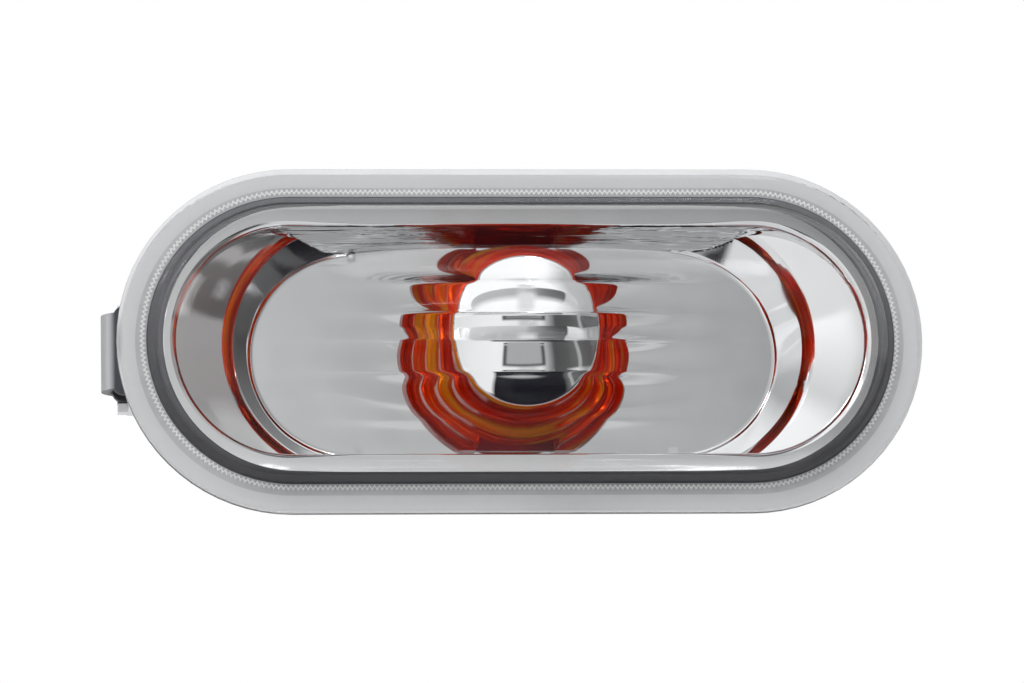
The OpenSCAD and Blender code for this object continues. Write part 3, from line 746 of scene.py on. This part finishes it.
def shield():
    """The chrome dome on the front of the cup."""
    radius = (SHIELD_R ** 2 + SHIELD_H ** 2) / (2 * SHIELD_H)
    centre = SHIELD_TOP - radius
    rim_a = math.asin((SHIELD_R - 0.12) / radius)
    n = 40
    top = [(radius * math.sin(rim_a * k / n), centre + radius * math.cos(rim_a * k / n))
           for k in range(n + 1)]
    edge = [(SHIELD_R, top[-1][1] - 0.04), (SHIELD_R, CUP_TOP + 0.05),
            (SHIELD_R - SHIELD_CUT, CUP_TOP + 0.05)]
    low = [(r * (1 - SHIELD_WALL / radius), z - SHIELD_WALL) for r, z in top[::-1]]
    low[-1] = (0.0, low[-1][1])
    low = [(r, z) for r, z in low if z > CUP_TOP + 0.06 and r < SHIELD_R - SHIELD_CUT]
    rows = [row_at(0, c, s, top + edge + low) for c, s in directions(128)]
    obj = piece("chrome_bulb_shield", grid(rows), M_SHIELD, ["bulb_shield"],
                sharp=40)
    # the cut edge is not plated
    repaint(obj, M_UNPLATED_AND_SHADE, lambda x, y, z, n: math.hypot(x, y) > SHIELD_R - 0.13)


lens()
skirt()
weld_rib()
reflector()
cup()
leg("amber_leg_right", 1)
leg("amber_leg_left", -1)
cup_floor()
shield()


# ---- CAD nodes that stay: material, and the width of their rounded edges

for name, material, width in (
    ("housing", M_HOUSING, 0.25), ("wing_seal", M_FOAM, 0.2), ("retaining_clip", M_CLIP, 0.12),
    ("bulb_holder", M_HOLDER, 0.2), ("holder_seal", M_RUBBER, 0.25),
    ("left_contact", M_BRASS, 0.06), ("right_contact", M_BRASS, 0.06),
    ("bulb_glass", M_BULB, 0), ("left_lead_wire", M_WIRE, 0), ("right_lead_wire", M_WIRE, 0),
    ("filament", M_FILAMENT, 0),
):
    node = nodes[name]
    node.data.materials.clear()
    node.data.materials.append(material)
    if width:
        mod = node.modifiers.new("edges", "BEVEL")
        mod.width = width * MM
        mod.segments = 2
        mod.limit_method = "ANGLE"
        mod.angle_limit = math.radians(40)
        mod.harden_normals = True


# ---- camera

AZIMUTH, ELEVATION, ROLL = math.radians(-4.94), math.radians(-9.1), math.radians(-0.85)
DISTANCE, VIEW_WIDTH, SENSOR = 1.0, 0.1167, 36
back = Vector((math.sin(AZIMUTH) * math.cos(ELEVATION), -math.cos(AZIMUTH) * math.cos(ELEVATION),
               math.sin(ELEVATION)))
cam_data = bpy.data.cameras.new("camera")
cam_data.sensor_width = SENSOR
cam_data.lens = SENSOR * DISTANCE / VIEW_WIDTH
cam = linked("camera", cam_data)
cam.location = Vector(place(-1.03, -0.1, 3.8)) + back * DISTANCE
cam.rotation_mode = "QUATERNION"
cam.rotation_quaternion = (-back).to_track_quat("-Z", "Y") @ Quaternion((0, 0, 1), ROLL)
bpy.context.scene.camera = cam


# ---- floor, world and lamps

FLOOR_Z, FLOOR_R = -0.25, 1.6


def floor():
    """A pale floor, which shows from above only and runs out into the white round it."""
    mesh = bpy.data.meshes.new("floor")
    around = directions(64)
    n = len(around)
    mesh.from_pydata([(0, 0, FLOOR_Z)] + [(FLOOR_R * c, FLOOR_R * s, FLOOR_Z) for c, s in around],
                     [], [(0, 1 + k, 1 + (k + 1) % n) for k in range(n)])
    m, t = tree_of("floor")
    col = ramp(t, noise(t, 6, 4), [(0.3, (0.86, 0.86, 0.86)), (0.7, (0.90, 0.90, 0.90))])
    pale = add(t, "ShaderNodeBsdfDiffuse", {"Color": col}).outputs[0]
    clear = add(t, "ShaderNodeBsdfTransparent").outputs[0]
    below = add(t, "ShaderNodeNewGeometry").outputs["Backfacing"]
    away = add(t, "ShaderNodeVectorMath", {0: point(t)}, operation="LENGTH").outputs["Value"]
    gone = calc(t, "MAXIMUM", below, spread(t, away, 0.0, 1.0, 0.30, 1.0))
    mix = add(t, "ShaderNodeMixShader", {0: gone, 1: pale, 2: clear}).outputs[0]
    add(t, "ShaderNodeOutputMaterial", {"Surface": mix})
    mesh.materials.append(m)
    obj = linked("floor", mesh)
    obj.visible_glossy = False
    obj.visible_transmission = False


def studio_world():
    """White behind the part and through its glass, and a made-up room in its mirrors."""
    world = bpy.data.worlds.new("studio")
    bpy.context.scene.world = world
    world.use_nodes = True
    t = world.node_tree
    t.nodes.clear()
    coords = add(t, "ShaderNodeTexCoord").outputs["Generated"]
    x, y, z = add(t, "ShaderNodeSeparateXYZ", {0: coords}).outputs
    azimuth = calc(t, "ARCTAN2", x, calc(t, "MULTIPLY", y, -1.0))
    elevation = calc(t, "ARCSINE", z)

    def across(*stops):
        """Greys by azimuth: (degrees, grey) from -180 to 180."""
        fac = spread(t, azimuth, 0.0, 1.0, -math.pi, math.pi)
        return ramp(t, fac, [((a + 180) / 360, (v, v, v)) for a, v in stops])

    def upwards(*stops):
        """Greys by elevation: (degrees, grey) from -90 to 90."""
        fac = spread(t, elevation, 0.0, 1.0, -math.pi / 2, math.pi / 2)
        return ramp(t, fac, [((e + 90) / 180, (v, v, v)) for e, v in stops])

    def patch(a0, a1, e0, e1, soft):
        """1 inside a rectangle of directions, in degrees."""
        deg = math.pi / 180
        return product(t, spread(t, azimuth, 0.0, 1.0, (a0 - soft) * deg, (a0 + soft) * deg),
                       spread(t, azimuth, 1.0, 0.0, (a1 - soft) * deg, (a1 + soft) * deg),
                       spread(t, elevation, 0.0, 1.0, (e0 - soft) * deg, (e0 + soft) * deg),
                       spread(t, elevation, 1.0, 0.0, (e1 - soft) * deg, (e1 + soft) * deg))

    # ahead: white at the left, a grey screen that is dark at the right, and white beside it
    side = across((-180, 0.6), (-110, 0.9), (-70, 1.2), (-42, 1.2), (-38, 0.75), (-12, 0.66),
                  (3, 0.64), (7, 0.43), (22, 0.11), (30, 0.05), (35.5, 0.05), (36.5, 0.85),
                  (45, 0.85), (52, 0.36), (75, 0.38), (110, 0.45), (180, 0.4))
    side = blend(t, upwards((-90, 0.0), (0, 0.0), (26, 0.5), (90, 0.5)), side, (0.3, 0.3, 0.3, 1))
    # low in front: pale, with dark parts at the right
    below = across((-180, 0.35), (-70, 0.8), (-20, 0.95), (16, 0.8), (20, 0.45), (27, 0.08),
                   (38, 0.10), (45, 0.14), (46, 0.4), (48, 0.4), (49, 0.13), (57, 0.10),
                   (100, 0.2), (180, 0.35))
    # high up: white in front and dark behind
    above = across((-180, 0.10), (-130, 0.12), (-100, 0.6), (-75, 1.1), (30, 1.1), (48, 0.55),
                   (100, 0.45), (130, 0.12), (180, 0.10))
    room = blend(t, upwards((-90, 0.0), (0.5, 0.0), (2.5, 1.0), (90, 1.0)), below, side)
    room = blend(t, upwards((-90, 0.0), (24, 0.0), (32, 1.0), (90, 1.0)), room, above)
    ceiling, ground = (0.08, 0.08, 0.085, 1), (0.75, 0.75, 0.76, 1)
    room = blend(t, upwards((-90, 0.0), (62, 0.0), (72, 1.0), (90, 1.0)), room, ceiling)
    room = blend(t, upwards((-90, 1.0), (-58, 1.0), (-48, 0.0), (90, 0.0)), room, ground)
    for a0, a1, e0, e1, soft, colour in (
        # straight ahead, low and high, the grey of the screen goes on
        (-2, 12, -4.5, 2.5, 2, (0.64, 0.64, 0.64)), (-2, 12, 22, 44, 3, (0.80, 0.80, 0.80)),
        # a doorway with a dark frame, and the dark bench below it
        (-15, 19, -23, -4, 1, (0.10, 0.10, 0.10)), (-12, 16, -25, -6, 1, (0.42, 0.42, 0.42)),
        (-26, 42, -44, -28, 2, (0.012, 0.012, 0.016)),
        # three bright windows
        (-96, -84, 20, 42, 2, (7.0, 7.0, 7.0)), (10, 22, 48, 58, 2, (12.0, 12.0, 12.0)),
        (-64, -54, 30, 42, 2, (9.0, 9.0, 9.0)),
    ):
        room = blend(t, patch(a0, a1, e0, e1, soft), room, (*colour, 1))

    # the room shows in mirrors alone, and white to the camera and through the glass
    path = add(t, "ShaderNodeLightPath").outputs
    unlit = calc(t, "SUBTRACT", 1.0, calc(t, "GREATER_THAN", path["Diffuse Depth"], 0.5))
    through = product(t, path["Is Transmission Ray"], unlit)
    seen = calc(t, "MAXIMUM", path["Is Camera Ray"], through)
    level = blend(t, seen, (0.70, 0.70, 0.705, 1), (1, 1, 1, 1))
    mirrored = product(t, calc(t, "GREATER_THAN", path["Glossy Depth"], 0.5), unlit)
    shown = add(t, "ShaderNodeBackground", {"Color": blend(t, mirrored, level, room)}).outputs[0]
    add(t, "ShaderNodeOutputWorld", {"Surface": shown})


def lamp(name, where, size, power):
    """A rectangle of light, in metres and watts, that faces the part and never shows."""
    data = bpy.data.lights.new(name, "AREA")
    data.shape = "RECTANGLE"
    data.size, data.size_y = size
    data.energy = power
    obj = linked(name, data)
    obj.location = where
    obj.rotation_mode = "QUATERNION"
    obj.rotation_quaternion = (-Vector(where)).to_track_quat("-Z", "Y")
    obj.visible_glossy = False
    obj.visible_transmission = False
    obj.visible_camera = False


floor()
studio_world()
lamp("key", (-0.4, -0.5, 0.7), (0.5, 0.4), 4.8)
lamp("fill", (0.9, -0.5, 0.1), (0.8, 0.8), 0.15)
lamp("rear", (0.2, 1.0, 0.8), (0.9, 0.6), 3.2)

bpy.context.scene.view_settings.view_transform = "Standard"
